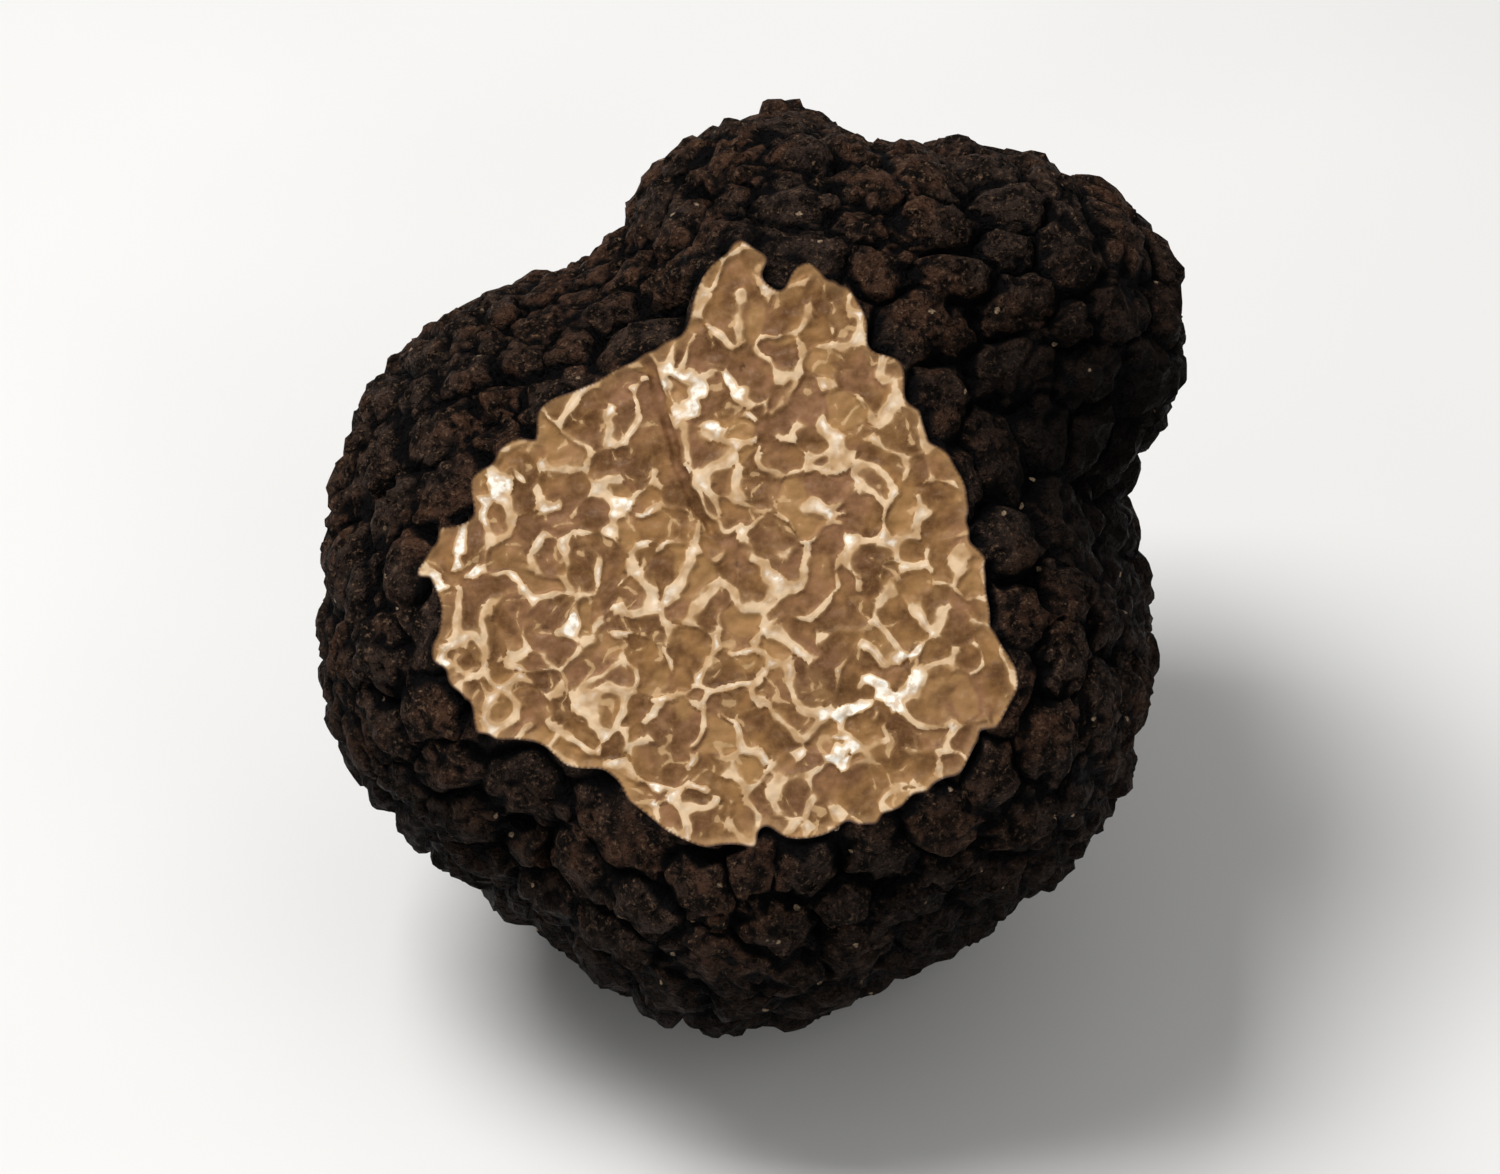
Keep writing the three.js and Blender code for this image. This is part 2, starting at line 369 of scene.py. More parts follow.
def outward_at(points):
    """The unit ways straight out of the melted lobes."""
    weights, ways = lobe_weights(points)
    outward = (weights[:, :, None] * ways).sum(axis=1)
    return outward / np.linalg.norm(outward, axis=1, keepdims=True)


def surface_points(directions):
    """Where the rays from the heart leave the melted lobes."""
    inside = np.zeros(len(directions))
    outside = np.full(len(directions), float(REACH))
    for _ in range(HALVINGS):
        middle = (inside + outside) / 2
        weights, _ways = lobe_weights(HEART + directions * middle[:, None])
        within = weights.sum(axis=1) > 1
        inside = np.where(within, middle, inside)
        outside = np.where(within, outside, middle)
    return HEART + directions * inside[:, None]


def eased_to(value, points, area):
    """1 over most of the skin, and another value near the middle of an area."""
    gaps = np.linalg.norm(points - area["at"], axis=1)
    return value + (1 - value) * smooth_step(gaps, area["radius"] * AREA_CORE, area["radius"])


def sow_warts():
    """Warts at random, each kept where no other is too near. Only the solid uses the drawn breadth."""
    draws = random_numbers(SEED)
    rows = np.array([[next(draws) for _ in range(DRAWS_PER_WART)] for _ in range(WART_TRIES)])
    from_top, round_it, own_spacing, own_height, _own_breadth, own_depth = rows.T
    polar = np.arccos(2 * from_top - 1)
    turn = 2 * np.pi * round_it
    directions = np.stack([np.sin(polar) * np.sin(turn), np.cos(polar), np.sin(polar) * np.cos(turn)], axis=1)
    places = surface_points(directions)
    spacings = WART_SPACING * eased_to(FINE_SKIN["spacing"], places, FINE_SKIN)
    spacings *= spread(1, WART_SPACING_VARIES, own_spacing)
    kept = []
    for i in range(WART_TRIES):
        gaps = np.linalg.norm(places[kept] - places[i], axis=1)
        if not (gaps < (spacings[kept] + spacings[i]) / 2).any():
            kept.append(i)
    return {
        "direction": directions[kept],
        "place": places[kept],
        "spacing": spacings[kept],
        "height": own_height[kept],
        "depth": own_depth[kept],
    }


def lowest_first(corners):
    """The same triangle, turned so that its lowest number comes first."""
    start = corners.index(min(corners))
    return tuple(corners[start:] + corners[:start])


def neighbour_triangles(warts):
    """Triangles of neighbouring warts, as seen from the heart, anticlockwise from outside."""
    hull = bmesh.new()
    for direction in warts["direction"]:
        hull.verts.new(direction)
    hull.verts.index_update()
    bmesh.ops.convex_hull(hull, input=hull.verts)
    triangles = []
    for face in hull.faces:
        corners = [vert.index for vert in face.verts]
        if np.linalg.det(warts["direction"][corners]) < 0:
            corners.reverse()
        triangles.append(lowest_first(corners))
    hull.free()
    return triangles


def plump_triangles(warts, triangles):
    """The same warts, with edges traded for the other diagonal where that makes plumper triangles."""
    place, direction = warts["place"], warts["direction"]

    def angle_at(tip, a, b):
        to_a, to_b = place[a] - place[tip], place[b] - place[tip]
        return math.acos(to_a @ to_b / math.sqrt((to_a @ to_a) * (to_b @ to_b)))

    def faces_out(a, b, c):
        return np.cross(direction[a], direction[b]) @ direction[c] > 0

    while True:
        beyond_edge = {}
        for corners in triangles:
            for k in range(3):
                beyond_edge[corners[(k + 1) % 3], corners[k]] = corners
        used, traded = set(), []
        for corners in sorted(triangles):
            for k in range(3):
                a, b, c = (corners[(k + step) % 3] for step in range(3))
                other = beyond_edge[a, b]
                d = next(corner for corner in other if corner not in (a, b))
                if corners in used or other in used or (c, d) in beyond_edge:
                    continue
                if angle_at(c, a, b) + angle_at(d, a, b) <= math.pi:
                    continue
                if faces_out(a, d, c) and faces_out(d, b, c):
                    used.update([corners, other])
                    traded += [lowest_first([a, d, c]), lowest_first([d, b, c])]
        if not traded:
            return triangles
        triangles = [corners for corners in triangles if corners not in used] + traded


def crack_junctions(warts, triangles):
    """Per triangle of warts, where their cracks meet and how deep: nearer to the smaller warts."""
    corners = np.array(triangles)
    weights = 1 / warts["spacing"][corners]
    middles = ((warts["place"][corners] - HEART) * weights[:, :, None]).sum(axis=1)
    directions = middles / np.linalg.norm(middles, axis=1, keepdims=True)
    shares = warts["depth"][corners].sum(axis=1) % 1
    return surface_points(directions), spread(CRACK_DEPTH, CRACK_DEPTH_VARIES, shares)


def sectors_of(warts, triangles, junctions):
    """Every wart's slices: its number, and the numbers of two junctions next to each other round it."""
    touching = [[] for _ in warts["place"]]
    for number, corners in enumerate(triangles):
        for corner in corners:
            touching[corner].append(number)
    sectors = []
    for wart, numbers in enumerate(touching):
        top = warts["direction"][wart]
        east = np.array([-top[1], top[0], 0]) / math.hypot(top[0], top[1])
        north = np.cross(top, east)
        ways = junctions[numbers] - HEART
        turns = np.arctan2(ways @ north, ways @ east)
        ring = [numbers[i] for i in np.argsort(turns)]
        sectors += [(wart, a, b) for a, b in zip(ring, ring[1:] + ring[:1])]
    return np.array(sectors)


# ---- Noise ----


def noise_at(points, size, octaves=1):
    """Smooth noise of about that size, mostly within -1 to 1. Each octave is half as big and as strong."""
    return np.array([noise.fractal(Vector(point) / size, 1, 2, octaves) for point in points])


def shake_at(points, size):
    """Random ways that change smoothly over about that size, mostly within -1 to 1."""
    return np.array([noise.noise_vector(Vector(point) / size) for point in points])


def lumps_at(points, size):
    """Rounded lumps of about that size, 0 in the dents between them and 1 on their tops."""
    gaps = np.array([noise.voronoi(Vector(point) / size)[0][:2] for point in points])
    round_tops = np.clip(1 - (gaps[:, 0] / LUMP_RADIUS) ** 2, 0, 1)
    return round_tops * smooth_step(gaps[:, 1] - gaps[:, 0], *LUMP_DENT)


# ---- Building the skin ----


def smoothed(values, faces, times):
    """The values, each averaged with its neighbours' a number of times."""
    sides = np.concatenate([faces[:, [0, 1]], faces[:, [1, 2]], faces[:, [2, 0]]])
    pairs = np.unique(np.sort(sides, axis=1), axis=0)
    counts = np.bincount(pairs.ravel(), minlength=len(values))
    for _ in range(times):
        total = np.bincount(pairs[:, 0], values[pairs[:, 1]], len(values))
        total += np.bincount(pairs[:, 1], values[pairs[:, 0]], len(values))
        values = (values + total / counts) / 2
    return values


def fine_grid():
    """Points and triangles of one sector: how far out each point is, and how far along the crack."""
    out, along, faces = [], [], []
    number = {}
    for row in range(WART_ROWS + 1):
        for step in range(row + 1):
            number[row, step] = len(out)
            out.append(1 - (1 - row / WART_ROWS) ** ROW_CROWDING)
            along.append(step / max(row, 1))
    for row in range(WART_ROWS):
        for step in range(row + 1):
            faces.append((number[row, step], number[row + 1, step], number[row + 1, step + 1]))
            if step < row:
                faces.append((number[row, step], number[row + 1, step + 1], number[row, step + 1]))
    return np.array(out), np.array(along), np.array(faces)


def skin_net(warts):
    """A net over all the warts, still without relief.

    It returns the points and triangles, and per point how far out on its wart it is, how deep the crack there
    is, and how high the wart is.
    """
    triangles = plump_triangles(warts, neighbour_triangles(warts))
    junctions, depths = crack_junctions(warts, triangles)
    sectors = sectors_of(warts, triangles, junctions)
    out, along, grid_faces = fine_grid()

    tops = warts["place"][sectors[:, 0]][:, None, :]
    edges = junctions[sectors[:, 1]][:, None, :] * (1 - along[:, None])
    edges = edges + junctions[sectors[:, 2]][:, None, :] * along[:, None]
    points = (tops + (edges - tops) * out[:, None]).reshape(-1, 3)
    depth = depths[sectors[:, 1]][:, None] * (1 - along) + depths[sectors[:, 2]][:, None] * along
    height = spread(WART_TOP, WART_TOP_VARIES, warts["height"][sectors[:, 0]])
    height = np.repeat(height, len(out))
    outness = np.tile(out, len(sectors))

    rounded = np.round(points, SAME_POINT_DIGITS)
    _, first, number = np.unique(rounded, axis=0, return_index=True, return_inverse=True)
    starts = np.arange(len(sectors))[:, None, None] * len(out)
    faces = number.ravel()[(grid_faces[None] + starts).reshape(-1, 3)]
    return points[first], faces, outness[first], depth.ravel()[first], height[first]


def fine_skin():
    """The whole skin before it is cut: points, triangles, and what the points carry for the paint."""
    points, faces, outness, depth, height = skin_net(sow_warts())
    wander = shake_at(points, WANDER_SIZE)
    detail = shake_at(points, WANDER_SIZE * WANDER_DETAIL_SIZE)
    ways = points + WANDER * (wander + WANDER_DETAIL * detail) - HEART
    base = surface_points(ways / np.linalg.norm(ways, axis=1, keepdims=True))
    outward = outward_at(base)
    base = base + outward * rim_push(base)[:, None]

    crack_share = CRACK_SHARE + CRACK_SHARE_VARIES * noise_at(base, CRACK_SHARE_SIZE, 2)
    depth = depth * np.clip(crack_share, *CRACK_SHARE_LIMITS)
    height = height - WART_SINK + HEIGHT_NOISE * noise_at(base + SHIFTS["height"], HEIGHT_NOISE_SIZE)
    round_top = (1 - outness**WART_ROUNDNESS) ** WART_SHOULDER
    lumps = lumps_at(base + GRAIN_WANDER * wander, GRAIN_SIZE) - GRAIN_MIDDLE
    off_cut = smooth_step(np.abs(on_cut_face(base)[1]), *GRAIN_BY_CUT_BAND)
    lumps *= spread(GRAIN_BY_CUT, GRAIN_BY_CUT_VARIES, off_cut)
    rise = -depth + (height + depth) * round_top + GRAIN_HEIGHT * lumps
    relief = eased_to(FINE_SKIN["relief"], base, FINE_SKIN) * eased_to(FOOT["relief"], base, FOOT)
    rise = beside_plane(rise * relief, base, outward, FLESH_MIDDLE, CUT_NORMAL)
    rise = beside_plane(rise, base, outward, GROUND_MIDDLE, GROUND_NORMAL)

    low, high = np.array(cad_box) / MM
    low[2] = -REACH  # the ground cuts the truffle later
    points = np.clip(base + outward * rise[:, None], low, high)
    # Skin that faces down and the crown's front keep little of the dusty colour: that darkening is painted
    # shade.
    facing_up = smooth_step(outward[:, 2], *UNDERSIDE_SHADE_CLIMB)
    dust_and_shade = eased_to(CROWN_SHADE["dust_and_shade"], base, CROWN_SHADE) * (DUST_KEPT_IN_UNDERSIDE_SHADE + (1 - DUST_KEPT_IN_UNDERSIDE_SHADE) * facing_up)
    # hollow is how far a point lies below the skin round it; the paint darkens hollows and cracks with it as
    # painted shade.
    return points, faces, {"hollow": smoothed(rise, faces, HOLLOW_STEPS) - rise, "dust_and_shade": dust_and_shade}


def on_cut_face(points):
    """Places on the cut face, to the right of its middle and up, and how far above it the points lie."""
    ways = points - FLESH_MIDDLE
    return np.stack([ways @ FLESH_RIGHT, ways @ FLESH_UP], axis=1), ways @ CUT_NORMAL


def rim_push(points):
    """How far the body is pushed out, or in, to give the rim of the cut its corners and scallops."""
    places, over = on_cut_face(points)
    gaps = np.linalg.norm(places[:, None, :] - RIM_PUSHES[:, :2], axis=2)
    radii, amounts = RIM_PUSHES[:, 2], RIM_PUSHES[:, 3]
    pushes = amounts * (1 - smooth_step(gaps, RIM_PUSH_CORE * radii, radii))
    scallops = RIM_SCALLOP * noise_at(points + SHIFTS["scallops"], RIM_SCALLOP_SIZE)
    scallops *= smooth_step(over, *RIM_SCALLOP_BAND)
    return pushes.sum(axis=1) * smooth_step(over, *RIM_PUSH_BAND) + scallops


def beside_plane(rise, base, outward, point, normal):
    """The heights, kept from leaving loose islands beside a plane that cuts the truffle, or pits in it."""
    over = (base - point) @ normal
    climb = outward @ normal
    slope = np.maximum(climb, LEAST_CLIMB)
    room = np.maximum((-CUT_CLEARANCE - over) / slope, 0.0)
    held_back = room * (1 - np.exp(-np.maximum(rise, 0) / np.maximum(room, TINY)))
    low = np.where(rise > 0, held_back, rise)
    low = np.minimum(low, (-CUT_CLEARANCE - over) / slope)
    high = np.maximum(rise, (CUT_CLEARANCE - over) / slope)
    kept = np.where(over < 0, low, np.where(over > NOTCH_REACH, high, rise))
    return np.where(climb > LEAST_CLIMB, kept, rise)


# ---- Cutting and closing ----


def islands_of(faces):
    """The faces in groups that hang together by their edges, the largest group first."""
    left = set(faces)
    groups = []
    while left:
        group = [left.pop()]
        for face in group:
            for edge in face.edges:
                for other in edge.link_faces:
                    if other in left:
                        left.remove(other)
                        group.append(other)
        groups.append(group)
    return sorted(groups, key=len, reverse=True)


def cut_away(mesh, point, normal):
    """Takes away what is beyond a plane and what that leaves loose, and smooths the rim."""
    for vert in mesh.verts:
        gap = (vert.co - point).dot(normal)
        if abs(gap) < SNAP:
            vert.co -= normal * gap
    everything = mesh.verts[:] + mesh.edges[:] + mesh.faces[:]
    bmesh.ops.bisect_plane(
        mesh, geom=everything, dist=ON_PLANE, plane_co=point, plane_no=normal, clear_outer=True
    )
    on_plane = {vert for vert in mesh.verts if abs((vert.co - point).dot(normal)) < ON_PLANE}
    flat = [face for face in mesh.faces if all(vert in on_plane for vert in face.verts)]
    bmesh.ops.delete(mesh, geom=flat, context="FACES_ONLY")
    pits = [face for group in islands_of(mesh.faces)[1:] for face in group]
    bmesh.ops.delete(mesh, geom=pits, context="FACES_ONLY")
    for edge in [edge for edge in mesh.edges if edge.is_wire]:
        mesh.edges.remove(edge)
    for vert in [vert for vert in mesh.verts if not vert.link_edges]:
        mesh.verts.remove(vert)

    # The fill would double an edge whose ends both lie on the rim, so it gets a middle that lies lower.
    touching = [edge for edge in mesh.edges if not edge.is_boundary and set(edge.verts) <= on_plane]
    split = bmesh.ops.subdivide_edges(mesh, edges=touching, cuts=1)["geom_inner"]
    for vert in [part for part in split if isinstance(part, bmesh.types.BMVert)]:
        vert.co -= normal * SNAP

    for _ in range(RIM_SMOOTHINGS):
        moved = {}
        for vert in mesh.verts:
            beside = [edge.other_vert(vert).co for edge in vert.link_edges if edge.is_boundary]
            if len(beside) == 2:
                moved[vert] = (vert.co * 2 + beside[0] + beside[1]) / 4
        for vert, place in moved.items():
            vert.co = place


def close(mesh, point, normal, net):
    """Fills the cut's outline with a net of small triangles, which the rim meets at a sharp edge.

    It returns the new inner points, how far in from the rim they are, and the triangles.
    """
    across = normal.orthogonal().normalized()
    along = normal.cross(across)
    rim = [vert for vert in mesh.verts if vert.is_boundary]
    flat = [Vector(((vert.co - point).dot(across), (vert.co - point).dot(along))) for vert in rim]
    number = {vert: i for i, vert in enumerate(rim)}
    rim_edges = [(number[edge.verts[0]], number[edge.verts[1]]) for edge in mesh.edges if edge.is_boundary]
    rim_tree = KDTree(len(flat))
    for i, place in enumerate(flat):
        rim_tree.insert((place.x, place.y, 0), i)
    rim_tree.balance()

    def gap_to_rim(x, y):
        _place, _number, gap = rim_tree.find((x, y, 0))
        return gap

    rng = np.random.default_rng(net["seed"])
    spacing = net["spacing"]
    row_gap = spacing * math.sqrt(3) / 2
    low = [min(place[k] for place in flat) for k in (0, 1)]
    high = [max(place[k] for place in flat) for k in (0, 1)]
    inner = []
    for row in range(int((high[1] - low[1]) / row_gap) + 1):
        for step in range(int((high[0] - low[0]) / spacing) + 1):
            shake = rng.uniform(-NET_SHAKE, NET_SHAKE, 2) * spacing
            x = low[0] + (step + row % 2 / 2) * spacing + shake[0]
            y = low[1] + row * row_gap + shake[1]
            if gap_to_rim(x, y) > NET_CLEARANCE * spacing:
                inner.append(Vector((x, y)))

    filled = delaunay_2d_cdt(flat + inner, rim_edges, [], INSIDE_OUTLINES, TINY)
    places, _edges, triangles, sources, _, _ = filled
    verts, new, depths = {}, [], []
    for i in sorted({corner for corners in triangles for corner in corners}):
        on_rim = [source for source in sources[i] if source < len(rim)]
        if on_rim:
            verts[i] = rim[on_rim[0]]
            continue
        verts[i] = mesh.verts.new(point + across * places[i].x + along * places[i].y)
        new.append(verts[i])
        depths.append(gap_to_rim(places[i].x, places[i].y))
    for edge in mesh.edges:
        if edge.is_boundary:
            edge.smooth = False
    faces = [mesh.faces.new([verts[i] for i in corners]) for corners in triangles]
    for face in faces:
        face.material_index = net["material"]
    return new, np.array(depths), faces


# ---- The veins and the relief of the flesh ----


def gap_to_line(places, line):
    """How far each place on the cut face is from a line of straight runs."""
    gaps = np.full(len(places), np.inf)
    for start, end in zip(np.array(line[:-1]), np.array(line[1:])):
        run = end - start
        share = np.clip((places - start) @ run / (run @ run), 0, 1)
        gaps = np.minimum(gaps, np.linalg.norm(places - start - share[:, None] * run, axis=1))
    return gaps


def sow_islands(veins):
    """The middles and radii of the brown islands that the veins run between, and a tree to find them by."""
    rng = np.random.default_rng(veins["seed"])
    spacing = veins["spacing"]
    row_gap = spacing * math.sqrt(3) / 2
    rows, columns = int(REACH / row_gap), int(REACH / spacing)
    row, column = np.divmod(np.arange(rows * columns), columns)
    middles = np.stack([(column + row % 2 / 2) * spacing, row * row_gap], axis=1) - REACH / 2
    middles += rng.uniform(-ISLAND_SHAKE, ISLAND_SHAKE, middles.shape) * spacing
    radii = rng.uniform(-ISLAND_RADIUS_VARIES, ISLAND_RADIUS_VARIES, len(middles)) * spacing
    tree = KDTree(len(middles))
    for i, (x, y) in enumerate(middles):
        tree.insert((x, y, 0), i)
    tree.balance()
    return middles, radii, tree


def pair_share(low, high, steps):
    """A share from 0 to 1 that each pair of islands has, which looks random."""
    return np.mod(low * steps[0] + high * steps[1], 1)


def vein_gaps(places, veins):
    """How far each place on the cut face is from the edge of the nearest vein, and its island's tone.

    Inside a vein the gap is negative. A tone is a share from 0 to 1.
    """
    middles, radii, tree = sow_islands(veins)
    near = np.array([[hit[1] for hit in tree.find_n((x, y, 0), NEAR_ISLANDS)] for x, y in places])
    away = np.linalg.norm(places[:, None, :] - middles[near], axis=2) - radii[near]
    order = np.argsort(away, axis=1)[:, :3]
    near = np.take_along_axis(near, order, axis=1)
    away = np.take_along_axis(away, order, axis=1)
    to_vein = (away[:, 1] - away[:, 0]) / 2
    to_meeting = (away[:, 2] - away[:, 0]) / 2 / veins["spacing"]

    tones = np.mod(near[:, :2] * ISLAND_STEP, 1)
    beyond = 0.5 * (1 - smooth_step(to_vein, 0, TONE_BLEND))
    tone = tones[:, 0] * (1 - beyond) + tones[:, 1] * beyond

    low, high = near[:, :2].min(axis=1), near[:, :2].max(axis=1)
    whole = pair_share(low, high, WHOLE_STEPS) < veins["whole"]
    strength = pair_share(low, high, STRENGTH_STEPS)
    meeting_share = np.mod(near.sum(axis=1) * MEETING_STEP, 1)
    meeting = veins["meeting"] * spread(MEETING_SHARE, MEETING_SHARE_VARIES, meeting_share)
    half = veins["thin"] + (veins["thick"] - veins["thin"]) * strength**2
    half_whole = half + np.maximum(meeting - half, 0) * (1 - smooth_step(to_meeting, *MEETING_BAND))
    reach = BROKEN_REACH + BROKEN_REACH_VARIES * strength
    half_broken = VEIN_END + (meeting - VEIN_END) * (1 - smooth_step(to_meeting / reach, 0, 1))
    rounded = np.hypot(to_vein, VEIN_ROUNDNESS) - VEIN_ROUNDNESS
    return rounded - np.where(whole, half_whole, half_broken), tone


def wandering_veins(points, places, small, veins):
    """The same for veins that wander."""
    wander = shake_at(points + veins["wander shift"], veins["wander size"])[:, :2]
    return vein_gaps(places + veins["wander"] * wander + veins["shake"] * small, veins)


def shape_flesh(mesh, verts, depths):
    """Sinks the flesh a little between its veins and along the fold, and writes what its paint needs."""
    points = np.array([vert.co for vert in verts])
    places = on_cut_face(points)[0]
    small = shake_at(points, SHAKE_SIZE)[:, :2]

    bold, island = wandering_veins(points, places, small, BOLD_VEINS)
    frayed = VEIN_FRAY * noise_at(points, VEIN_FRAY_SIZE, 3)
    fading = noise_at(points + SHIFTS["fading"], VEIN_FADE_SIZE, 2)
    bold += frayed + VEIN_FADE * smooth_step(fading, *VEIN_FADE_BAND)
    fine, _ = wandering_veins(points, places, small, FINE_VEINS)
    fading = noise_at(points + SHIFTS["fine veins"], FINE_FADE_SIZE, 2)
    fine += FINE_FADE * (1 - smooth_step(fading, *FINE_FADE_BAND))
    plain = smooth_step(places[:, 0] + PLAIN_SIDE_SHAKE * small[:, 0], *PLAIN_SIDE)
    bold = bold + PLAIN_SIDE_BOLD * plain
    fine = fine + PLAIN_SIDE_FINE * plain

    ways = (places + CREAM_SHAKE * small)[:, None, :] - CREAM_PATCHES[:, :2]
    radii, strengths = CREAM_PATCHES[:, 2], CREAM_PATCHES[:, 3]
    cream = strengths * (1 - smooth_step(np.linalg.norm(ways, axis=2) / radii, CREAM_CORE, 1))
    cream = cream.max(axis=1)
    cream_noise = noise_at(points + SHIFTS["patches"], CREAM_NOISE_SIZE, 2)
    bold -= cream * (CREAM_WIDENS + CREAM_WIDENS_VARIES * cream_noise)

    to_trough = gap_to_line(places + TROUGH_SHAKE * small, TROUGH)
    trough = 1 - smooth_step(to_trough, TROUGH_FLOOR, TROUGH_HALF_WIDTH)
    bold = np.maximum(bold, TROUGH_BOLD * trough + TROUGH_START)
    fine = np.maximum(fine, TROUGH_FINE * trough + TROUGH_START)
    seam = SEAM_HALF_WIDTH * (1 + SEAM_VARIES * noise_at(points + SHIFTS["seam"], SEAM_VARIES_SIZE))
    bold = np.minimum(bold, gap_to_line(places + FOLD_SHAKE * small, FOLD) - seam)

    sink = FLESH_SINK + VEIN_RIDGE * smooth_step(bold, *VEIN_RIDGE_BAND)
    sink += SWELL * noise_at(points, SWELL_SIZE, 3)
    cream_relief = np.maximum(noise_at(points, CREAM_RELIEF_SIZE), CREAM_RELIEF_LEAST)
    sink += TROUGH_DEPTH * trough + CREAM_RELIEF * cream * cream_relief
    sink += ISLAND_STAGGER * (island - 0.5) * smooth_step(bold, *ISLAND_STAGGER_BAND)
    sink = np.maximum(sink, 0) * smooth_step(depths, 0, RIM_EASE)

    layers = [mesh.verts.layers.float[name] for name in FLESH_FIELDS]
    for vert, down, *values in zip(verts, sink, depths, bold, fine, island):
        vert.co -= Vector(CUT_NORMAL) * down
        for layer, value in zip(layers, values):
            vert[layer] = value


def build_truffle():
    """The truffle as one closed mesh: its skin, cut at the flesh and at the ground, and both cuts filled."""
    points, faces, fields = fine_skin()
    data = bpy.data.meshes.new("truffle_body")
    data.from_pydata(points.tolist(), [], faces.tolist())
    for name, values in fields.items():
        attribute = data.attributes.new(name, "FLOAT", "POINT")
        attribute.data.foreach_set("value", values.astype(np.float32))
    mesh = bmesh.new()
    mesh.from_mesh(data)
    for name in FLESH_FIELDS:
        mesh.verts.layers.float.new(name)

    flesh_middle, cut_normal = Vector(FLESH_MIDDLE), Vector(CUT_NORMAL)
    cut_away(mesh, flesh_middle, cut_normal)
    verts, depths, flesh = close(mesh, flesh_middle, cut_normal, FLESH_NET)
    for face in mesh.faces:
        face.smooth = True
    for group in islands_of(flesh)[1:]:  # a wart's top, sliced off beside the flesh
        for face in group:
            face.material_index = SKIN
    shape_flesh(mesh, verts, depths)

    ground, down = Vector(GROUND_MIDDLE), Vector(GROUND_NORMAL)
    cut_away(mesh, ground, down)
    close(mesh, ground, down, FOOT_NET)
    bmesh.ops.scale(mesh, vec=(MM, MM, MM), verts=mesh.verts)
    mesh.to_mesh(data)
    mesh.free()
    piece = bpy.data.objects.new("truffle_body", data)
    bpy.context.scene.collection.objects.link(piece)
    return piece


# ---- Materials ----


def srgb(red, green, blue):
    """A colour from 0 to 255 as Blender's linear one, by the sRGB curve."""
    parts = [part / 255 for part in (red, green, blue)]
    return tuple(p / 12.92 if p <= 0.04045 else ((p + 0.055) / 1.055) ** 2.4 for p in parts) + (1,)


class Paint:
    """A material whose nodes are added one by one. The methods that add a node return its output."""

    def __init__(self, name):
        self.material = bpy.data.materials.new(name)
        self.material.use_nodes = True
        self.tree = self.material.node_tree
        self.shader = self.tree.nodes["Principled BSDF"]
        places = self.add("TexCoord", {}, {}, "Object")
        inputs = {"Vector": places, "Scale": 1 / MM}
        self.millimetres = self.add("VectorMath", {"operation": "SCALE"}, inputs, 0)

    def add(self, kind, settings, inputs, output):
        node = self.tree.nodes.new("ShaderNode" + kind)
        for name, value in settings.items():
            setattr(node, name, value)
        for name, value in inputs.items():
            self.feed(node.inputs[name], value)
        return node.outputs[output]

    def feed(self, socket, value):
        if isinstance(value, bpy.types.NodeSocket):
            self.tree.links.new(value, socket)
        else:
            socket.default_value = value

    def set(self, **inputs):
        """Feeds the shader's own inputs, whose names have spaces for the underscores."""
        for name, value in inputs.items():
            self.feed(self.shader.inputs[name.replace("_", " ")], value)

    def math(self, operation, first, second):
        return self.add("Math", {"operation": operation}, {0: first, 1: second}, 0)

    def step(self, value, low, high, at_low=0.0, at_high=1.0):
        """A smooth change from one number to another as the value goes from low to high, or falls to it."""
        ends = {"From Min": low, "From Max": high, "To Min": at_low, "To Max": at_high}
        return self.add("MapRange", {"interpolation_type": "SMOOTHSTEP"}, {"Value": value, **ends}, 0)

    def mix(self, share, first, second):
        return self.add("Mix", {"data_type": "RGBA"}, {0: share, 6: first, 7: second}, 2)

    def noise(self, size, detail, roughness=0.5, output="Fac"):
        inputs = {"Vector": self.millimetres, "Scale": 1 / size, "Detail": detail, "Roughness": roughness}
        return self.add("TexNoise", {}, inputs, output)

    def centred(self, value):
        return self.math("SUBTRACT", value, 0.5)

    def cells(self, size, at, output="Distance"):
        return self.add("TexVoronoi", {"feature": "F1"}, {"Vector": at, "Scale": 1 / size}, output)

    def shifted(self, amount, size):
        """The places in millimetres, pushed about by noise."""
        push = self.noise(size, 2, output="Color")
        centred = self.add("VectorMath", {"operation": "SUBTRACT"}, {0: push, 1: (0.5, 0.5, 0.5)}, 0)
        pushed = self.add("VectorMath", {"operation": "SCALE"}, {0: centred, "Scale": amount}, 0)
        return self.add("VectorMath", {"operation": "ADD"}, {0: self.millimetres, 1: pushed}, 0)

    def field(self, name):
        """A number that the mesh carries at each point."""
        return self.add("Attribute", {"attribute_name": name}, {}, "Fac")

    def bump(self, height, depth, below=None):
        """A relief of that depth in millimetres, on top of another one."""
        inputs = {"Height": height, "Distance": depth * MM, "Strength": 1.0}
        if below is not None:
            inputs["Normal"] = below
        return self.add("Bump", {}, inputs, "Normal")


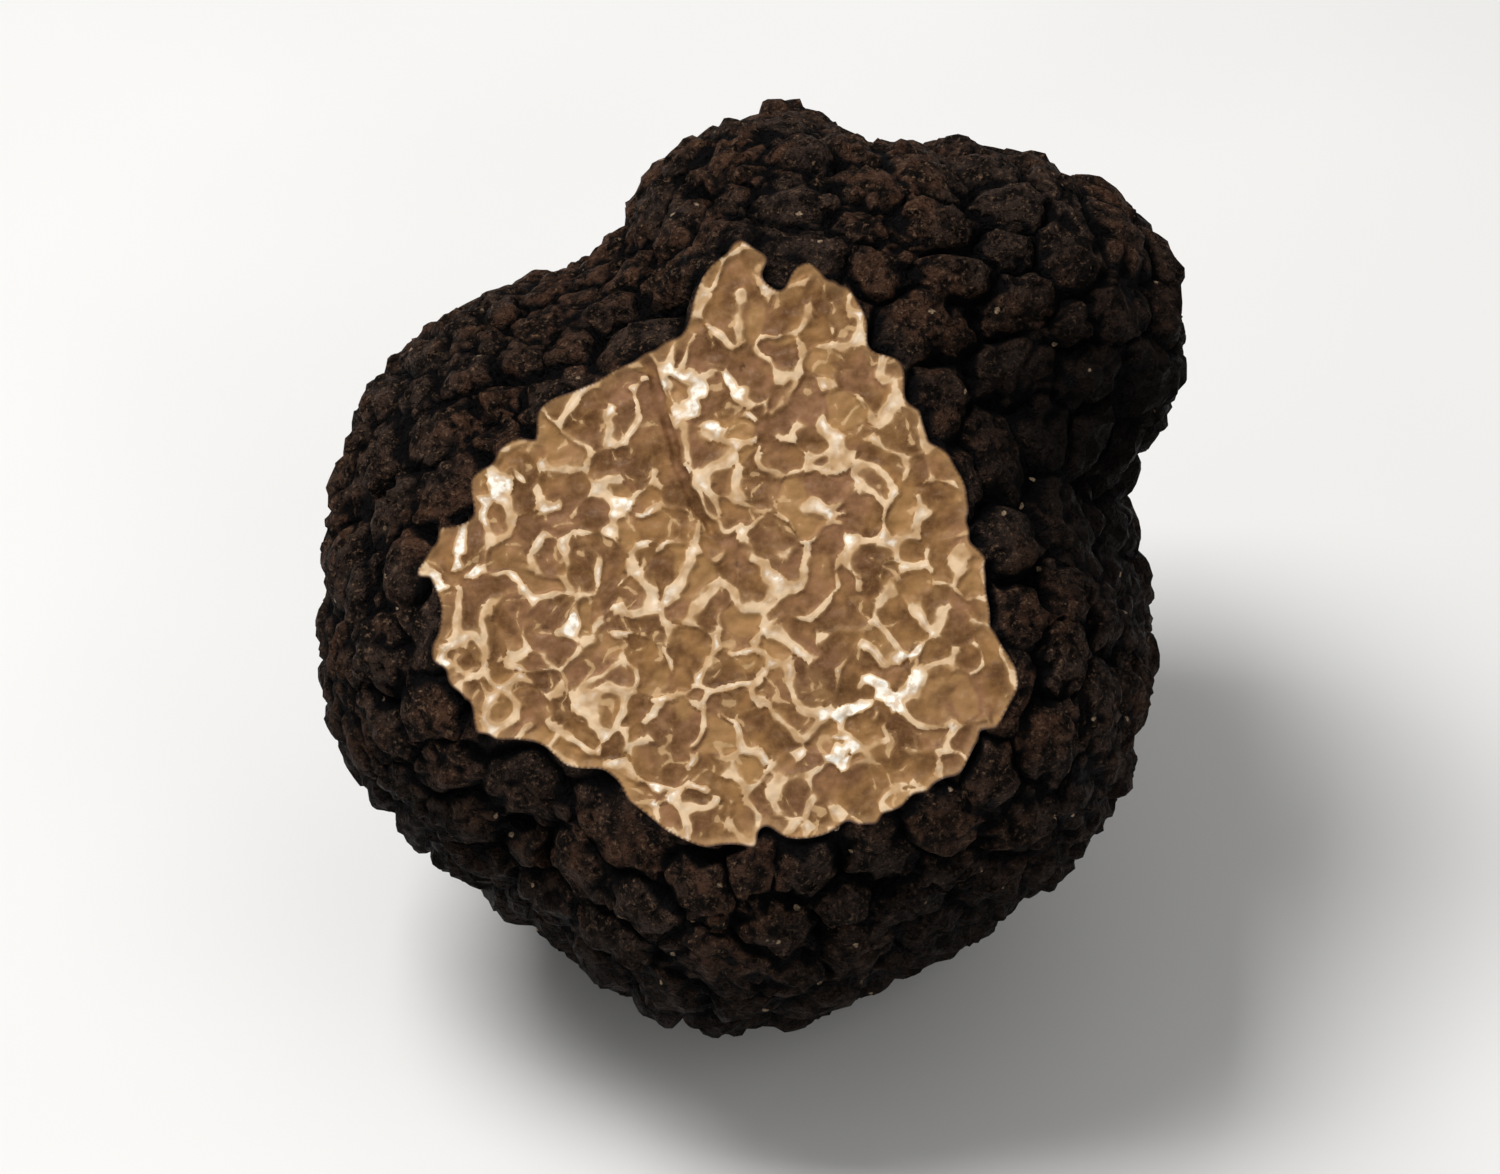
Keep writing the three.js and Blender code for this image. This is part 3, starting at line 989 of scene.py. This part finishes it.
def skin_material():
    """Dark brown warts with a little dusty colour on them, kept off the crown's front and off skin that faces
    down as painted shade; cracks painted nearly black as the shade in them; and a few pale specks.
    """
    paint = Paint("truffle_skin")
    bare, crack_shade = srgb(11, 7, 5), srgb(4, 2, 2)
    reddish, greyish = srgb(72, 48, 34), srgb(54, 41, 34)
    dusty_grain, speck = srgb(108, 84, 65), srgb(150, 128, 104)

    hollow = paint.field("hollow")
    dust_and_shade = paint.field("dust_and_shade")
    broad = paint.noise(size=5.0, detail=3)
    medium = paint.noise(size=0.9, detail=4, roughness=0.62)
    fine = paint.noise(size=0.25, detail=4, roughness=0.7)
    pebbles = paint.cells(size=0.42, at=paint.shifted(amount=0.6, size=0.4))

    warm = paint.mix(paint.step(broad, low=0.4, high=0.6), reddish, greyish)
    # The dusty brown is kept off the crown's front and the underside by this field, which is painted shade
    # there.
    dust_and_shade_share = paint.math("MULTIPLY", paint.step(medium, low=0.38, high=0.62), dust_and_shade)
    brown = paint.mix(dust_and_shade_share, bare, warm)
    grain_share = paint.math("MULTIPLY", paint.step(fine, low=0.52, high=0.72), dust_and_shade)
    dusty = paint.mix(grain_share, brown, dusty_grain)
    ragged = paint.math("MULTIPLY", paint.centred(medium), 0.35)
    depth = paint.math("ADD", hollow, ragged)
    # Painted shade: hollows and cracks are painted nearly black, as the shade that falls in them.
    black = paint.mix(paint.step(depth, low=-0.1, high=0.08), dusty, crack_shade)

    speck_places = paint.shifted(amount=0.3, size=0.3)
    chosen = paint.step(paint.cells(0.9, speck_places, "Color"), low=0.8, high=0.82)
    middles = paint.step(paint.cells(0.9, speck_places), low=0.2, high=0.12)
    specks = paint.math("MULTIPLY", middles, chosen)
    paint.set(Base_Color=paint.mix(specks, black, speck))
    paint.set(Roughness=paint.step(medium, low=0.3, high=0.7, at_low=0.9, at_high=0.5))
    paint.shader.inputs["Specular IOR Level"].default_value = 0.07

    relief = paint.bump(paint.step(pebbles, low=0.75, high=0.1), depth=0.2)
    relief = paint.bump(medium, depth=0.5, below=relief)
    paint.set(Normal=paint.bump(fine, depth=0.2, below=relief))
    return paint.material


def flesh_material():
    """Brown islands of several tones, fine pale threads, bold cream veins, and the whitest patches."""
    paint = Paint("truffle_flesh")
    tan, russet, umber = srgb(147, 107, 64), srgb(137, 97, 68), srgb(96, 63, 34)
    dark, golden, crease = srgb(84, 54, 29), srgb(176, 135, 84), srgb(62, 40, 23)
    veil, edge = srgb(176, 138, 92), srgb(178, 141, 97)
    halo, thread = srgb(190, 151, 106), srgb(198, 161, 117)
    cream, light_cream, white = srgb(188, 152, 111), srgb(217, 187, 150), srgb(255, 248, 234)
    under_skin = srgb(60, 40, 27)

    rim, vein, fine, island = (paint.field(name) for name in FLESH_FIELDS)
    shade = paint.noise(size=1.3, detail=2.5)
    grain = paint.noise(size=0.25, detail=4, roughness=0.7)
    ragged = paint.math("MULTIPLY", paint.centred(paint.noise(size=0.4, detail=1)), 0.12)
    bold_gap = paint.math("ADD", vein, ragged)
    fine_gap = paint.math("ADD", fine, ragged)
    nearest = paint.math("MINIMUM", bold_gap, fine_gap)

    tone = paint.mix(paint.step(paint.noise(size=4.0, detail=2), low=0.4, high=0.6), tan, russet)
    flesh = paint.mix(paint.step(shade, low=0.3, high=0.66), umber, tone)
    flesh = paint.mix(paint.step(island, low=0.45, high=0.1, at_high=0.55), flesh, dark)
    flesh = paint.mix(paint.step(island, low=0.7, high=0.95, at_high=0.5), flesh, golden)
    flesh = paint.mix(paint.step(vein, low=1.0, high=1.7, at_high=0.85), flesh, crease)
    flesh = paint.mix(paint.step(nearest, low=0.3, high=0.04, at_high=0.2), flesh, veil)
    flesh = paint.mix(paint.step(rim, low=0.8, high=0.1, at_high=0.35), flesh, edge)
    grain_share = paint.math("MULTIPLY", paint.step(grain, low=0.4, high=0.75), 0.2)
    flesh = paint.mix(grain_share, flesh, veil)
    flesh = paint.mix(paint.step(bold_gap, low=0.1, high=0.0, at_high=0.5), flesh, halo)
    flesh = paint.mix(paint.step(fine_gap, low=0.02, high=-0.05, at_high=0.75), flesh, thread)
    creamy = paint.mix(paint.step(paint.noise(size=1.1, detail=2), low=0.4, high=0.58), cream, light_cream)
    flesh = paint.mix(paint.step(bold_gap, low=0.03, high=-0.03), flesh, creamy)
    torn = paint.step(paint.noise(size=0.35, detail=2), low=0.35, high=0.6, at_low=0.35)
    white_share = paint.math("MULTIPLY", paint.step(vein, low=-0.1, high=-0.35), torn)
    flesh = paint.mix(white_share, flesh, white)
    flesh = paint.mix(paint.step(rim, low=0.2, high=0.02), flesh, under_skin)
    paint.set(Base_Color=flesh)
    paint.set(Roughness=paint.step(grain, low=0.3, high=0.7, at_low=0.6, at_high=0.42))
    paint.shader.inputs["Specular IOR Level"].default_value = 0.12

    relief = paint.bump(paint.noise(size=0.9, detail=1), depth=0.3)
    paint.set(Normal=paint.bump(paint.noise(size=0.22, detail=1), depth=0.02, below=relief))
    return paint.material


def floor_material():
    """A pale, nearly even floor."""
    paint = Paint("pale_floor")
    mottle = paint.step(paint.noise(size=60.0, detail=2), low=0.3, high=0.7)
    paint.set(Base_Color=paint.mix(mottle, srgb(228, 227, 225), srgb(233, 232, 230)))
    paint.shader.inputs["Roughness"].default_value = 0.6
    return paint.material


# ---- Setting the stage ----


def add_camera():
    """A camera in front of the truffle that looks down at it."""
    data = bpy.data.cameras.new("camera")
    data.sensor_fit = "HORIZONTAL"
    data.sensor_width = SENSOR_WIDTH
    data.lens = SENSOR_WIDTH * CAMERA_DISTANCE / VIEW_WIDTH
    camera = bpy.data.objects.new("camera", data)
    away = np.array([0, -math.cos(CAMERA_RISE), math.sin(CAMERA_RISE)])
    camera.location = Vector(CAMERA_AIM + away * CAMERA_DISTANCE) * MM
    camera.rotation_euler = (math.pi / 2 - CAMERA_RISE, 0, 0)
    bpy.context.scene.collection.objects.link(camera)
    bpy.context.scene.camera = camera


def add_softbox(name, place, size, watts):
    """A square area light at a place in millimetres, turned to the truffle."""
    data = bpy.data.lights.new(name, "AREA")
    data.size = size * MM
    data.energy = watts
    light = bpy.data.objects.new(name, data)
    light.location = Vector(place) * MM
    way = Vector(HEART) - Vector(place)
    light.rotation_euler = way.to_track_quat("-Z", "Y").to_euler()
    bpy.context.scene.collection.objects.link(light)


def add_stage():
    """The floor, the even light from all round, and two softboxes."""
    half = FLOOR_HALF_WIDTH
    corners = [(-half, -half, 0), (half, -half, 0), (half, half, 0), (-half, half, 0)]
    data = bpy.data.meshes.new("floor")
    data.from_pydata(corners, [], [(0, 1, 2, 3)])
    floor = bpy.data.objects.new("floor", data)
    floor.data.materials.append(floor_material())
    bpy.context.scene.collection.objects.link(floor)
    world = bpy.data.worlds.new("studio")
    world.use_nodes = True
    sky = world.node_tree.nodes["Background"]
    sky.inputs["Color"].default_value = (1, 1, 1, 1)
    sky.inputs["Strength"].default_value = SKY_STRENGTH
    bpy.context.scene.world = world
    bpy.context.scene.view_settings.view_transform = "Standard"
    add_softbox("key", **KEY_LIGHT)
    add_softbox("fill", **FILL_LIGHT)


add_camera()
truffle = build_truffle()
truffle.data.materials.append(skin_material())
truffle.data.materials.append(flesh_material())
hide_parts("truffle")
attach(truffle, "root")
add_stage()
